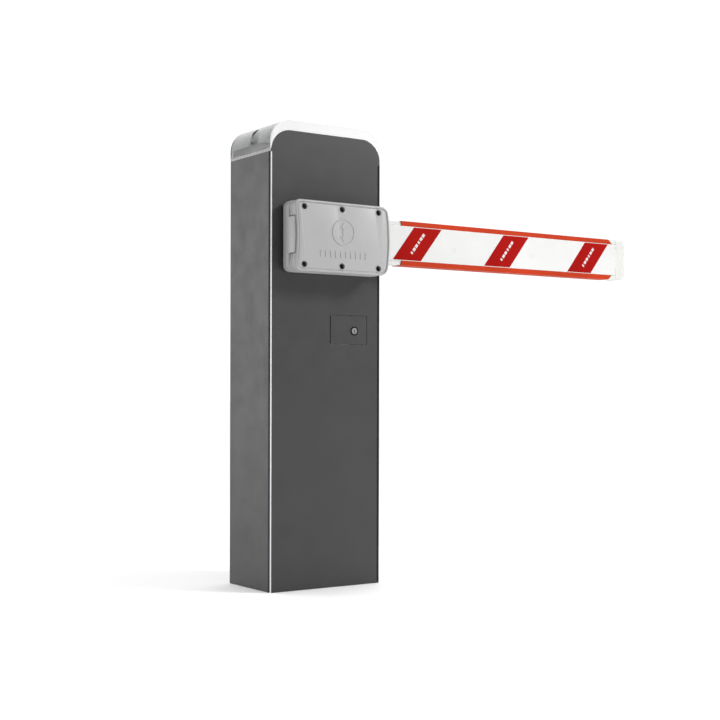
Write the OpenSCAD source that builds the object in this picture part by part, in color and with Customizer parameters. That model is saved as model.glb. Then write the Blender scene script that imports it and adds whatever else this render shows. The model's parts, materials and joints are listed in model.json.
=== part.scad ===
// Parking barrier gate: a floor-standing cabinet with a worm-driven boom.
// Origin: centre of the cabinet's footprint on the ground. +Z up, -Y is the
// front, +X is the side that the boom points to when it is down.

/* [Cabinet] */
// Width of the cabinet across the front
cab_w = 307; // [300:1:315]
// Depth of the cabinet, front panel to rear door
cab_d = 194; // [190:1:200]
// Height of the side panels
side_h = 1024; // [1020:1:1060]
// Radius of the panel's and the cap's top corners
arch_r = 52; // [46:1:56]
// Height of the cap's front band above the front panel
band_h = 24; // [18:1:28]
// Thickness of the cabinet's sheet metal
sheet_t = 2.5; // [2:0.5:2.5]
// Thickness of the base plate
base_t = 8; // [6:1:10]
// Spacing of the anchor holes across the front
anchor_x = 220; // [200:5:240]
// Spacing of the anchor holes front to back
anchor_y = 124; // [110:2:128]
// Radius of an anchor hole
anchor_r = 7; // [5.5:0.5:8]

/* [Boom] */
// Height of the boom's axis above the ground
axis_z = 826; // [822:1:830]
// Length of the boom from the axis to the end of its cap
boom_len = 937; // [925:1:1400]
// Overall height of the boom over its rubbers
boom_h = 108; // [104:1:110]
// Height of the boom's flat face
face_h = 84; // [80:1:86]
// Depth of the boom front to back
boom_d = 36; // [34:1:36]
// Wall thickness of the boom profile
boom_wall = 2; // [1.5:0.5:3]
// Number of warning stickers on each face
sticker_count = 3; // [1:1:3]
// Spacing of the warning stickers
sticker_pitch = 285; // [200:5:285]

/* [Boom clamp] */
// Height of the clamp
clamp_h = 165; // [160:1:170]
// How far the clamp reaches to the left of the axis
clamp_left = 127; // [120:1:130]
// How far the clamp reaches to the right of the axis
clamp_right = 141; // [134:1:144]
// Height between the upper and lower rows of clamp screws
screw_rows = 133; // [130:1:136]
// Distance between neighbouring clamp screws in a row
screw_pitch = 104; // [98:1:106]

/* [Drive] */
// Gear module of the worm drive
gear_m = 3; // [2.9:0.1:3]
// Teeth on the worm wheel
wheel_teeth = 36; // [36:1:36]
// Radius of the worm at its pitch line
worm_r = 15; // [15:0.5:16]
// Radius of the boom shaft
shaft_r = 17.5; // [15:0.5:17.5]
// Radial gap of a running fit
run_gap = 0.05; // [0.02:0.01:0.08]
// Length of the spring lever, axis to pin
lever_len = 60; // [56:1:62]
// Radius of the balance spring's wire
wire_r = 3; // [2:0.5:3]
// Turns of the balance spring
spring_turns = 22; // [16:1:22]

/* [Hidden] */
$fn = 48;
eps = 0.1;

// Cabinet planes and faces
front_y = -cab_d / 2;
back_y = cab_d / 2;
half_w = cab_w / 2;
front_h = side_h + arch_r;
cap_top = front_h + band_h;
panel_in = front_y + sheet_t;
side_y0 = front_y + 9;
side_y1 = back_y - 0.5;
wall_x = half_w - sheet_t;
chassis_t = 5;
chassis_y = side_y0 + 4;
plate_back = chassis_y + chassis_t;
chassis_top = side_h - 14;
trim_w = 2.1;
// Stiffening flanges of the front panel: place each side of the middle, and gap at their ends
flange_x = half_w - 12.5;
flange_end = 20;
frame_y = back_y - 11;
door_y = back_y - sheet_t;
cap_wall = 3;
flange_top = side_h + 8.5;
cap_screw_x = half_w - 11;
cap_screw_r = 3;
cap_cup_z = side_h + 28;
lamp_count = 8;

// Service opening in the rear frame
service_x = 131;
service_z0 = 40;
service_z1 = 990;

// Rear door hinge and lock
door_axis_x = -half_w + 7;
door_axis_y = back_y - 4;
door_left = door_axis_x - 1.3;
door_right = half_w - 4;
door_z0 = 12;
door_z1 = side_h - 4;
hinge_zs = [200, 820];
knuckle_len = 30;
ear_t = 6;
lock_x = 108;
lock_z = 520;

// Release flap and its lock
flap_x0 = 9.6;
flap_x1 = 116.5;
flap_z0 = 579.5;
flap_z1 = 649.5;
flap_axis_x = 13.5;
flap_axis_y = front_y + 4;
flap_pin_r = 1.25;
flap_lock_x = 79.8;
flap_lock_z = 612.3;

// Release linkage: two equal cranks and one rod, a parallelogram
release_x = 60;
handle_z = 612;
declutch_z = 790;
crank_len = 22;
crank_deg = 150;
crank_y = plate_back + 3.5;
crank_pin_r = 2.5;
handle_axle_r = 4;

// Worm drive
pitch = PI * gear_m;
wheel_r = gear_m * wheel_teeth / 2;
worm_x = wheel_r + worm_r;
drive_y = 8;
wheel_w = 24;
tooth_gap = 0.25;
flank = tan(20);
lead_deg = atan(pitch / (2 * PI * worm_r));
journal_r = 8;
box_y0 = drive_y - 30;
box_y1 = drive_y + 30;
box_z0 = axis_z - 58;
box_z1 = axis_z + 58;
motor_r = 40;
motor_top = box_z0 - 8;
motor_len = 120;
standoffs = [[-20, 58], [-20, -58], [86, 46], [86, -46]];
stud_r = 4;

// Spring balance
lever_y0 = -56;
lever_y1 = -48;
lever_deg = 135;
pin_x = lever_len * cos(lever_deg);
pin_z = axis_z + lever_len * sin(lever_deg);
lever_pin_r = 6;
hanger_y = -43.5;
spring_z0 = 450;
spring_z1 = 728;
coil_r = 15.5;
plug_r = 12;
stop_y = -55.5;
stop_gap = 0.3;
lever_eye_r = 14;

// Boom clamp planes
clamp_y0 = front_y - 7;
clamp_split = clamp_y0 - 28;
clamp_y1 = clamp_y0 - 56;
boom_y1 = clamp_y0 - 10;
boom_y0 = boom_y1 - boom_d;
clamp_z0 = axis_z - clamp_h / 2;
// Tab of the rear shell: how far it reaches forward, half its height, and the slit above and below it
tab_reach = 24.5;
tab_half = 42;
tab_z = axis_z + 1.3;
slit = 2.4;
// Radii of the cover's hollow left side and bulging right side
hollow_r = 470;
bulge_r = 460;
// How far the clamp screws sit below the cover's face
screw_sink = 12;
screw_x = 3;
hub_r = 26;
disc_r = 48;
rubber_start = 181;
rubber_end = boom_len - 50;
neck_inset = 3;
rubber_t = 1;
sticker_w = 85;
sticker_lean = 64;
sticker_x0 = 155;
sticker_t = 0.3;

// Control gear low in the cabinet
ctl_x0 = -115;
ctl_x1 = 75;
ctl_z0 = 130;
ctl_z1 = 370;
ctl_depth = 52;
cable_r = 4;
cable_path = [[69, 8, 610], [69, 8, 590], [66, 10, 560], [58, 14, 530], [50, 14, 500],
    [44, 6, 470], [40, -10, 445], [38, -28, 425], [37, -40, 405], [36, -45, 390], [36, -46, 376]];

// A box from two corners
module box(lo, hi) {
    translate(lo) cube(hi - lo);
}

// A cylinder along Y between two planes
module rod_y(x, z, r, y0, y1) {
    translate([x, y0, z]) rotate([-90, 0, 0]) cylinder(r = r, h = y1 - y0);
}

// A cylinder along Z between two heights
module rod_z(x, y, r, z0, z1) {
    translate([x, y, z0]) cylinder(r = r, h = z1 - z0);
}

// A flat outline in X and Z, made solid between two Y planes
module plate_y(y0, y1) {
    translate([0, y1, 0]) rotate([90, 0, 0]) linear_extrude(y1 - y0) children();
}

// A rectangle with round corners from two corners
module round_rect(lo, hi, r) {
    translate([lo[0] + r, lo[1]]) square([hi[0] - lo[0] - 2 * r, hi[1] - lo[1]]);
    translate([lo[0], lo[1] + r]) square([hi[0] - lo[0], hi[1] - lo[1] - 2 * r]);
    for (x = [lo[0] + r, hi[0] - r], z = [lo[1] + r, hi[1] - r]) translate([x, z]) circle(r);
}

// An upright outline with two round top corners
module arch(w, z0, z1, r) {
    translate([-w / 2, z0]) square([w, z1 - z0 - r]);
    translate([r - w / 2, z0]) square([w - 2 * r, z1 - z0]);
    intersection() {
        for (s = [-1, 1]) translate([s * (w / 2 - r), z1 - r]) circle(r, $fn = 96);
        translate([-w, z1 - r]) square([2 * w, 2 * r]);
    }
}

// A flat link: two round eyes joined by a bar, from one point along a direction
module link(x, z, len, deg, r0, r1, w) {
    translate([x, z]) rotate(deg) union() {
        circle(r0);
        translate([len, 0]) circle(r1);
        translate([0, -w / 2]) square([len, w]);
    }
}

// ---------- Cabinet ----------

module base_plate() {
    color("dimgray") difference() {
        box([-wall_x + 3, chassis_y - 1, 0], [wall_x - 3, frame_y + 1, base_t]);
        for (x = [-1, 1], y = [-1, 1])
            rod_z(x * anchor_x / 2, y * anchor_y / 2, anchor_r, -eps, base_t + eps);
        box([-70, -35, -eps], [70, 35, base_t + eps]);
    }
}

module chassis_frame() {
    color("silver") difference() {
        union() {
            box([-wall_x + 3, chassis_y, base_t], [wall_x - 3, plate_back, chassis_top]);
            for (s = [-1, 1]) {
                box([min(s * wall_x, s * (wall_x - 3)), chassis_y, base_t],
                    [max(s * wall_x, s * (wall_x - 3)), plate_back + 45, chassis_top]);
            }
        }
        rod_y(0, axis_z, 30, chassis_y - eps, plate_back + eps);
        box([30, chassis_y - eps, flap_z0 - 9], [118, plate_back + eps, flap_z1 + 5]);
        for (p = standoffs) rod_y(p[0], axis_z + p[1], stud_r, chassis_y - eps, plate_back + eps);
    }
    // Strip across the release window that carries the handle
    color("silver") difference() {
        box([release_x - 12, plate_back, 562], [release_x + 12, plate_back + 3, 664]);
        rod_y(release_x, handle_z, handle_axle_r + run_gap, plate_back - eps, plate_back + 3 + eps);
    }
}

// One side panel: a wall with a rounded bend into a short front flange
module side_panel(s) {
    bend = 4;
    cx = s * (half_w - bend);
    lo = min(s * half_w, s * wall_x);
    hi = max(s * half_w, s * wall_x);
    color("dimgray") union() {
        box([lo, side_y0 + bend, 0], [hi, side_y1, side_h]);
        box([min(cx, cx - s * 7), side_y0, 0], [max(cx, cx - s * 7), side_y0 + sheet_t, side_h]);
        difference() {
            rod_z(cx, side_y0 + bend, bend, 0, side_h);
            rod_z(cx, side_y0 + bend, bend - sheet_t, -eps, side_h + eps);
            box([cx - bend - eps, side_y0 + bend, -eps],
                [cx + bend + eps, side_y0 + 2 * bend + eps, side_h + eps]);
            box([min(cx, cx - s * 5), side_y0 - eps, -eps],
                [max(cx, cx - s * 5), side_y0 + 9, side_h + eps]);
        }
    }
}

module left_side_panel() {
    side_panel(-1);
}

module right_side_panel() {
    side_panel(1);
}

module rear_frame() {
    color("gray") difference() {
        box([-wall_x, frame_y, base_t], [wall_x, frame_y + sheet_t, side_h - 6]);
        box([-service_x, frame_y - eps, service_z0], [service_x, frame_y + sheet_t + eps, service_z1]);
    }
}

module top_plate() {
    color("gray") difference() {
        box([-wall_x, chassis_y, side_h - 9], [wall_x, frame_y, side_h - 6.5]);
        // Way through for the lamp board's wires
        box([74, 24, side_h - 10], [108, 58, side_h - 6]);
    }
}

module front_panel() {
    color("dimgray") difference() {
        plate_y(front_y, panel_in) arch(cab_w, 0, front_h, arch_r);
        box([-half_w - eps, front_y - eps, -eps], [-half_w + trim_w, panel_in + eps, side_h - 2]);
        rod_y(0, axis_z, hub_r + 2, front_y - eps, panel_in + eps);
        box([flap_x0, front_y - eps, flap_z0], [flap_x1, panel_in + eps, flap_z1]);
    }
    // Stiffening flanges behind the shadow gap
    color("dimgray") for (s = [-1, 1])
        translate([s * flange_x, 0, 0])
            box([-sheet_t / 2, panel_in, flange_end], [sheet_t / 2, chassis_y, side_h - flange_end]);
}

// Bright edge strip on the panel's left side
module edge_trim() {
    color("whitesmoke") linear_extrude(side_h - 2) polygon([
        [-half_w, panel_in], [-half_w, front_y + 1.2], [-half_w + 2, front_y],
        [-half_w + trim_w, front_y], [-half_w + trim_w, panel_in]]);
}

module cap_frame() {
    rail = 14;
    color("gainsboro") difference() {
        box([-half_w + cap_wall + 0.2, panel_in + 4.5, side_h],
            [half_w - cap_wall - 0.2, back_y - cap_wall - 0.2, flange_top]);
        box([-half_w + cap_wall + rail, panel_in + 4.5 + rail, side_h - eps],
            [half_w - cap_wall - rail, back_y - cap_wall - rail, flange_top + eps]);
        for (s = [-1, 1]) rod_z(s * cap_screw_x, 0, cap_screw_r, side_h + 3, flange_top + eps);
    }
}

module cap_lens() {
    color("whitesmoke", 0.5) difference() {
        union() {
            difference() {
                plate_y(front_y, back_y) arch(cab_w, side_h, cap_top, arch_r);
                plate_y(panel_in + 4.3, back_y - cap_wall)
                    arch(cab_w - 2 * cap_wall, side_h - 5, cap_top - cap_wall, arch_r - cap_wall);
            }
            // Bosses round the screw cups
            intersection() {
                for (s = [-1, 1]) rod_z(s * cap_screw_x, 0, 11, cap_cup_z - 8, cap_top);
                plate_y(-20, 20) arch(cab_w, side_h, cap_top, arch_r);
            }
        }
        plate_y(front_y - eps, panel_in + 2) arch(cab_w + 0.6, side_h - 5, front_h + 0.3, arch_r + 0.3);
        for (s = [-1, 1]) {
            rod_z(s * cap_screw_x, 0, 8.5, cap_cup_z, cap_top);
            rod_z(s * cap_screw_x, 0, cap_screw_r + 0.2, cap_cup_z - 10, cap_cup_z + 1);
        }
    }
}

module cap_screws() {
    color("dimgray") for (s = [-1, 1]) difference() {
        union() {
            rod_z(s * cap_screw_x, 0, 6.5, cap_cup_z, cap_cup_z + 6);
            rod_z(s * cap_screw_x, 0, cap_screw_r, side_h + 4, cap_cup_z + 1);
        }
        translate([s * cap_screw_x, 0, cap_cup_z + 3]) cylinder(r = 2.5, h = 4, $fn = 6);
    }
}

module led_board() {
    color("white") {
        box([-115, -66, side_h + 10], [115, 66, side_h + 11.6]);
        for (x = [-100, 100], y = [-52, 52]) rod_z(x, y, 4, side_h - 6.5, side_h + 10);
    }
}

module led_lamps() {
    color("gold") for (i = [0 : lamp_count - 1]) {
        x = -98 + 28 * i;
        for (y = [-40, 40]) translate([x, y, side_h + 11.6]) {
            cylinder(r = 6, h = 3);
            translate([0, 0, 4.6]) sphere(r = 4.5);
        }
    }
}

// ---------- Rear door ----------

module rear_door() {
    color("dimgray") difference() {
        box([door_left, door_y, door_z0], [door_right, back_y, door_z1]);
        for (z = hinge_zs)
            box([door_left - eps, door_y - eps, z - ear_t - 1],
                [door_left + 9.8, back_y + eps, z + knuckle_len + ear_t + 1]);
        rod_y(lock_x, lock_z, 11, door_y - eps, back_y + eps);
        for (i = [0 : 5]) box([-60, door_y - eps, 110 + 14 * i], [60, back_y + eps, 114 + 14 * i]);
    }
    // Stiffening ribs
    color("dimgray") for (x = [-100, 85])
        box([x - 10, door_y - 8, 60], [x + 10, door_y, 960]);
}

module door_hinges() {
    color("silver") for (z = hinge_zs) {
        for (h = [z - ear_t - 0.4, z + knuckle_len + 0.4])
            box([door_axis_x - 4, frame_y + sheet_t, h], [door_axis_x + 4, door_axis_y + 3.5, h + ear_t]);
        rod_z(door_axis_x, door_axis_y, 2.5, z - ear_t - 0.4, z + knuckle_len + ear_t + 0.4);
    }
}

module door_knuckles() {
    color("silver") for (z = hinge_zs) difference() {
        union() {
            rod_z(door_axis_x, door_axis_y, 3.9, z, z + knuckle_len);
            box([door_axis_x + 1, door_y, z], [door_left + 9.8, back_y - 0.3, z + knuckle_len]);
        }
        rod_z(door_axis_x, door_axis_y, 2.5 + run_gap, z - eps, z + knuckle_len + eps);
    }
}

module door_gasket() {
    color("black") difference() {
        box([-141, frame_y + sheet_t, service_z0 - 10], [145, door_y - 0.2, service_z1 + 10]);
        box([-service_x, frame_y - eps, service_z0], [service_x, door_y + eps, service_z1]);
    }
}

module door_lock() {
    color("silver") difference() {
        union() {
            rod_y(lock_x, lock_z, 11, frame_y - 1, back_y);
            rod_y(lock_x, lock_z, 14, back_y, back_y + 1.2);
        }
        box([lock_x - 1, back_y - 2, lock_z - 5], [lock_x + 1, back_y + 3, lock_z + 5]);
        rod_y(lock_x, lock_z, 4 + run_gap, frame_y - 2, frame_y + 5);
    }
}

module door_cam() {
    color("silver") {
        plate_y(frame_y - 4.2, frame_y - 1.2) link(lock_x, lock_z, 32, -90, 9, 8, 15);
        rod_y(lock_x, lock_z, 4, frame_y - 1.3, frame_y + 4);
    }
}

// ---------- Release flap and linkage ----------

module release_flap() {
    y0 = front_y + 0.5;
    y1 = y0 + 2.5;
    color("dimgray") difference() {
        union() {
            box([flap_axis_x - 1.1, y0, flap_z0 + 0.7], [flap_x1 - 0.7, y1, flap_z1 - 0.7]);
            rod_z(flap_axis_x, flap_axis_y, 2.5, flap_z0 + 0.7, flap_z1 - 0.7);
        }
        rod_z(flap_axis_x, flap_axis_y, flap_pin_r + run_gap, flap_z0, flap_z1);
        rod_y(flap_lock_x, flap_lock_z, 8.5 + run_gap, y0 - eps, y1 + eps);
    }
}

// The flap's hinge pin in its two ears, and the keeper behind which the lock's cam turns
module flap_hinge() {
    color("silver") {
        rod_z(flap_axis_x, flap_axis_y, flap_pin_r, flap_z0 - 11, flap_z1 + 11);
        for (z = [flap_z0 - 9.5, flap_z1 + 1.5])
            box([flap_axis_x - 3.5, panel_in, z], [flap_axis_x + 3.5, flap_axis_y + 3, z + 8]);
        box([flap_x1 + 1, panel_in, flap_lock_z - 8], [flap_x1 + 9, front_y + 7, flap_lock_z + 8]);
        box([flap_lock_x + 18, front_y + 5, flap_lock_z - 8], [flap_x1 + 1.1, front_y + 7, flap_lock_z + 8]);
    }
}

module flap_lock() {
    color("silver") {
        difference() {
            union() {
                rod_y(flap_lock_x, flap_lock_z, 8.5, front_y - 0.3, front_y + 7.6);
                rod_y(flap_lock_x, flap_lock_z, 10.5, front_y - 0.6, front_y + 0.4);
            }
            box([flap_lock_x - 1, front_y - 1, flap_lock_z - 4.5],
                [flap_lock_x + 1, front_y + 4, flap_lock_z + 4.5]);
        }
        plate_y(front_y + 7.4, front_y + 9.4) link(flap_lock_x, flap_lock_z, 20, -90, 8, 6, 12);
    }
}

module release_handle() {
    color("red") plate_y(chassis_y - 0.5, chassis_y + 3.8) difference() {
        link(release_x, handle_z, 34, crank_deg + 180, 10, 7, 12);
        translate([release_x, handle_z]) circle(handle_axle_r);
    }
}

// A crank of the parallelogram, with its pin for the rod
module crank(z) {
    plate_y(crank_y, crank_y + 4) link(release_x, z, crank_len, crank_deg, 8, 6, 10);
    rod_y(release_x + crank_len * cos(crank_deg), z + crank_len * sin(crank_deg), crank_pin_r,
        crank_y + 3.9, crank_y + 10);
}

module release_crank() {
    color("silver") {
        crank(handle_z);
        rod_y(release_x, handle_z, handle_axle_r, chassis_y - 0.5, crank_y + 0.1);
    }
}

module release_rod() {
    x = release_x + crank_len * cos(crank_deg);
    dz = crank_len * sin(crank_deg);
    color("silver") plate_y(crank_y + 4.8, crank_y + 8.8) difference() {
        link(x, handle_z + dz, declutch_z - handle_z, 90, 7, 7, 9);
        for (z = [handle_z, declutch_z]) translate([x, z + dz]) circle(crank_pin_r + 0.08);
    }
}

module declutch_lever() {
    color("silver") {
        crank(declutch_z);
        rod_y(release_x, declutch_z, 5, crank_y, box_y0 + 8);
    }
}

// ---------- Shaft and gearbox ----------

module front_bearing() {
    color("silver") difference() {
        union() {
            plate_y(plate_back, plate_back + 12) union() {
                translate([0, axis_z]) circle(38);
                translate([-12, axis_z - 50]) square([24, 100]);
                for (s = [-1, 1]) translate([0, axis_z + s * 50]) circle(12);
            }
            rod_y(0, axis_z, 34, plate_back, plate_back + 21);
            for (s = [-1, 1]) rod_y(0, axis_z + s * 50, 8, plate_back + 12, plate_back + 18);
        }
        rod_y(0, axis_z, shaft_r + run_gap, plate_back - eps, plate_back + 21 + eps);
    }
}

module rear_bearing() {
    color("silver") difference() {
        rod_y(0, axis_z, 31, box_y1 - 12, box_y1 - 2);
        rod_y(0, axis_z, shaft_r + run_gap, box_y1 - 12 - eps, box_y1 - 2 + eps);
    }
}

module main_shaft() {
    color("silver") difference() {
        rod_y(0, axis_z, shaft_r, clamp_y0 - 4, box_y1 - 2.5);
        box([-5, drive_y - 11, axis_z + shaft_r - 5], [5, drive_y + 11, axis_z + shaft_r + 1]);
    }
}

module shaft_key() {
    color("gray") box([-5, drive_y - 11, axis_z + shaft_r - 5], [5, drive_y + 11, axis_z + shaft_r + 3]);
}

// Half thickness of a rack tooth at a distance above its pitch line
function half_tooth(a) = pitch / 4 - tooth_gap - a * flank;

module worm_wheel() {
    root = wheel_r - 1.25 * gear_m;
    tip = wheel_r + gear_m;
    color("goldenrod") difference() {
        union() {
            rod_y(0, axis_z, root, drive_y - wheel_w / 2, drive_y + wheel_w / 2);
            for (i = [0 : wheel_teeth - 1])
                translate([0, drive_y, axis_z]) rotate([0, i * 360 / wheel_teeth, 0])
                rotate([-lead_deg, 0, 0])
                    plate_y(-wheel_w / 2, wheel_w / 2) polygon([
                        [root - 1, -half_tooth(-1.25 * gear_m)], [tip, -half_tooth(gear_m)],
                        [tip, half_tooth(gear_m)], [root - 1, half_tooth(-1.25 * gear_m)]]);
        }
        rod_y(0, axis_z, shaft_r, drive_y - wheel_w / 2 - 2, drive_y + wheel_w / 2 + 2);
        box([-5, drive_y - 15, axis_z], [5, drive_y + 15, axis_z + shaft_r + 3]);
        for (i = [0 : 5]) translate([0, drive_y, axis_z]) rotate([0, 30 + 60 * i, 0])
            rod_y(33, 0, 7, -wheel_w, wheel_w);
    }
}

// The gearbox's outer shape before it is split at the wheel's plane
module gearbox_outer() {
    plate_y(box_y0, box_y1) union() {
        translate([0, axis_z]) circle(66, $fn = 96);
        round_rect([38, box_z0], [98, box_z1], 6);
        for (p = standoffs) translate([p[0], axis_z + p[1]]) circle(12);
    }
    rod_z(worm_x, drive_y, motor_r + 2, motor_top, box_z0);
}

module gearbox_inner() {
    rod_y(0, axis_z, wheel_r + 5, drive_y - wheel_w / 2 - 3, drive_y + wheel_w / 2 + 3);
    rod_z(worm_x, drive_y, worm_r + 5, box_z0 + 8, box_z1 - 8);
    rod_z(worm_x, drive_y, journal_r + run_gap, motor_top - eps, box_z1 - 3);
    rod_y(0, axis_z, shaft_r + run_gap, box_y0 - eps, box_y1 - 5);
    rod_y(0, axis_z, 31, box_y1 - 12, box_y1 - 2);
    rod_y(release_x, declutch_z, 5 + run_gap, box_y0 - eps, box_y0 + 8.3);
    for (p = standoffs) rod_y(p[0], axis_z + p[1], stud_r, box_y0 - eps, box_y1 + eps);
}

module gearbox_half(y0, y1) {
    difference() {
        intersection() {
            gearbox_outer();
            box([-100, y0, motor_top - 1], [140, y1, box_z1 + 20]);
        }
        gearbox_inner();
    }
}

module gearbox_front_half() {
    color("lightgray") gearbox_half(box_y0 - 1, drive_y);
}

module gearbox_rear_half() {
    color("lightgray") gearbox_half(drive_y, box_y1 + 40);
}

module gearbox_standoffs() {
    color("silver") for (p = standoffs) {
        rod_y(p[0], axis_z + p[1], 8, plate_back, box_y0);
        rod_y(p[0], axis_z + p[1], stud_r, chassis_y - 4, box_y1 + 6);
        rod_y(p[0], axis_z + p[1], 7, chassis_y - 4, chassis_y);
        translate([p[0], box_y1, axis_z + p[1]]) rotate([-90, 0, 0]) cylinder(r = 7, h = 6, $fn = 6);
    }
}

// The worm's thread: one trapezoid swept along its helix
thread_steps = 24;
thread_turns = 5;
thread_root = worm_r - 1.25 * gear_m - 0.3;
function thread_ring(i) = let (
    a = 360 * i / thread_steps,
    z = pitch * (i / thread_steps - thread_turns / 2),
    section = [[thread_root - 1, -half_tooth(-3.5)], [worm_r + gear_m, -half_tooth(gear_m)],
        [worm_r + gear_m, half_tooth(gear_m)], [thread_root - 1, half_tooth(-3.5)]]
) [for (q = section) [q[0] * cos(a), q[0] * sin(a), z + q[1]]];

// A closed tube of rings with the same number of corners
module sweep(rings) {
    n = len(rings);
    k = len(rings[0]);
    polyhedron([for (r = rings) each r], concat(
        [[for (j = [k - 1 : -1 : 0]) j]],
        [for (i = [0 : n - 2], j = [0 : k - 1])
            each [[i * k + j, i * k + (j + 1) % k, (i + 1) * k + j],
                [i * k + (j + 1) % k, (i + 1) * k + (j + 1) % k, (i + 1) * k + j]]],
        [[for (j = [0 : k - 1]) (n - 1) * k + j]]));
}

module worm_shaft() {
    color("gray") {
        rod_z(worm_x, drive_y, thread_root, box_z0 + 12, box_z1 - 12);
        rod_z(worm_x, drive_y, journal_r, motor_top - 20, box_z1 - 4);
        translate([worm_x, drive_y, axis_z + pitch * (thread_turns / 2 - floor(thread_turns / 2))])
            sweep([for (i = [0 : thread_steps * thread_turns]) thread_ring(i)]);
    }
}

module motor_body() {
    z0 = motor_top - motor_len;
    color("dimgray") difference() {
        union() {
            rod_z(worm_x, drive_y, motor_r, z0, motor_top - 8);
            rod_z(worm_x, drive_y, motor_r + 2, motor_top - 8, motor_top);
            for (i = [0 : 23]) translate([worm_x, drive_y, z0 + 6]) rotate([0, 0, 15 * i])
                translate([motor_r - 1, -1, 0]) cube([4, 2, motor_len - 22]);
        }
        rod_z(worm_x, drive_y, journal_r + 0.4, motor_top - 24, motor_top + eps);
    }
}

module motor_end_cap() {
    z0 = motor_top - motor_len;
    color("black") {
        rod_z(worm_x, drive_y, motor_r, z0 - 22, z0);
        rod_z(worm_x, drive_y, 8, z0 - 30, z0 - 22);
    }
}

function unit(v) = v / norm(v);
function ring_at(path, i, r, n) = let (
    a = path[max(i - 1, 0)],
    b = path[min(i + 1, len(path) - 1)],
    t = unit(b - a),
    u = unit(cross(t, [0.9, 0.3, 0.1])),
    v = cross(t, u)
) [for (j = [0 : n - 1]) path[i] + r * (cos(360 * j / n) * u + sin(360 * j / n) * v)];

module motor_cable() {
    color("black") sweep([for (i = [0 : len(cable_path) - 1]) ring_at(cable_path, i, cable_r, 10)]);
}

// ---------- Spring balance ----------

module spring_lever() {
    color("silver") difference() {
        union() {
            plate_y(lever_y0, lever_y1)
                link(0, axis_z, lever_len, lever_deg, 28, lever_eye_r, 2 * lever_eye_r - 2);
            rod_y(0, axis_z, 25, lever_y1 - 1, lever_y1 + 4);
            rod_y(pin_x, pin_z, lever_pin_r, lever_y1 - 1, hanger_y + 5.5);
        }
        rod_y(0, axis_z, shaft_r, lever_y0 - eps, lever_y1 + 5);
    }
}

module chassis_brackets() {
    top = pin_z + lever_eye_r + 22;
    bottom = 2 * axis_z - top;
    color("silver") {
        box([pin_x - 13, plate_back, top], [pin_x + 13, stop_y + 6, top + 6]);
        box([pin_x - 13, plate_back, bottom - 6], [pin_x + 13, stop_y + 6, bottom]);
        // Spring anchor
        difference() {
            box([pin_x - 26, plate_back, 392], [pin_x + 26, hanger_y + 22, 400]);
            rod_z(pin_x, hanger_y, 6.3, 391, 401);
        }
        for (s = [-1, 1])
            box([pin_x + s * 23 - 3, plate_back, 400], [pin_x + s * 23 + 3, plate_back + 20, 440]);
    }
}

module stop_bumpers() {
    face = pin_z + lever_eye_r + stop_gap;
    back = pin_z + lever_eye_r + 22;
    color("black") {
        rod_z(pin_x, stop_y, 5.5, face, back);
        rod_z(pin_x, stop_y, 5.5, 2 * axis_z - back, 2 * axis_z - face);
    }
}

module spring_hanger() {
    color("silver") difference() {
        union() {
            rod_y(pin_x, pin_z, 13, hanger_y - 4, hanger_y + 4);
            rod_z(pin_x, hanger_y, 4, spring_z1 + 10, pin_z - 10);
            rod_z(pin_x, hanger_y, plug_r, spring_z1 - 16, spring_z1 + 11);
        }
        rod_y(pin_x, pin_z, lever_pin_r + run_gap, hanger_y - 5, hanger_y + 5);
    }
}

module balance_spring() {
    per_turn = 12;
    count = spring_turns * per_turn;
    rise = (spring_z1 - spring_z0 - 2 * wire_r) / count;
    path = [for (i = [0 : count]) [
        pin_x + coil_r * cos(360 * i / per_turn),
        hanger_y + coil_r * sin(360 * i / per_turn),
        spring_z0 + wire_r + rise * i]];
    color("dimgray") sweep([for (i = [0 : count]) let (
        a = 360 * i / per_turn,
        out = [cos(a), sin(a), 0]
    ) [for (j = [0 : 7]) path[i] + wire_r * (cos(45 * j) * out + sin(45 * j) * [0, 0, 1])]]);
}

module tension_rod() {
    color("silver") {
        rod_z(pin_x, hanger_y, plug_r, spring_z0 - 14, spring_z0 + 14);
        rod_z(pin_x, hanger_y, 6, 379, spring_z0 - 13);
        translate([pin_x, hanger_y, 381]) cylinder(r = 11, h = 11, $fn = 6);
    }
}

// ---------- Boom hub and clamp ----------

module hub_flange() {
    color("silver") difference() {
        union() {
            rod_y(0, axis_z, hub_r, clamp_y0, panel_in + 7);
            rod_y(0, axis_z, disc_r, clamp_y0 - 5, clamp_y0);
        }
        rod_y(0, axis_z, shaft_r, clamp_y0 - 4, panel_in + 8);
        for (a = [45 : 90 : 315]) rod_y(38 * cos(a), axis_z + 38 * sin(a), 4, clamp_y0 - 6, clamp_y0 + 1);
    }
}

module hub_bolts() {
    color("gray") for (a = [45 : 90 : 315])
        rod_y(38 * cos(a), axis_z + 38 * sin(a), 4, clamp_y0 - 9.8, clamp_y0 - 0.2);
}

// The clamp's outline with sharp corners; bow hollows the left side, and the right side is bowed out
module clamp_sharp(bow) {
    difference() {
        intersection() {
            translate([-clamp_left, clamp_z0]) square([clamp_left + clamp_right, clamp_h]);
            translate([clamp_right - bulge_r, axis_z]) circle(bulge_r, $fn = 240);
        }
        if (bow > 0) translate([-clamp_left + bow - hollow_r, axis_z]) circle(hollow_r, $fn = 240);
    }
}

module clamp_half(bow, r, x0) {
    intersection() {
        offset(r = r, $fn = 64) offset(delta = -r) clamp_sharp(bow);
        translate([x0, clamp_z0 - 1]) square([200, clamp_h + 2]);
    }
}

module clamp_outline(inset, bow) {
    offset(r = -inset) union() {
        clamp_half(bow, 15, -200);
        clamp_half(bow, 22, -1);
    }
}

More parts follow.
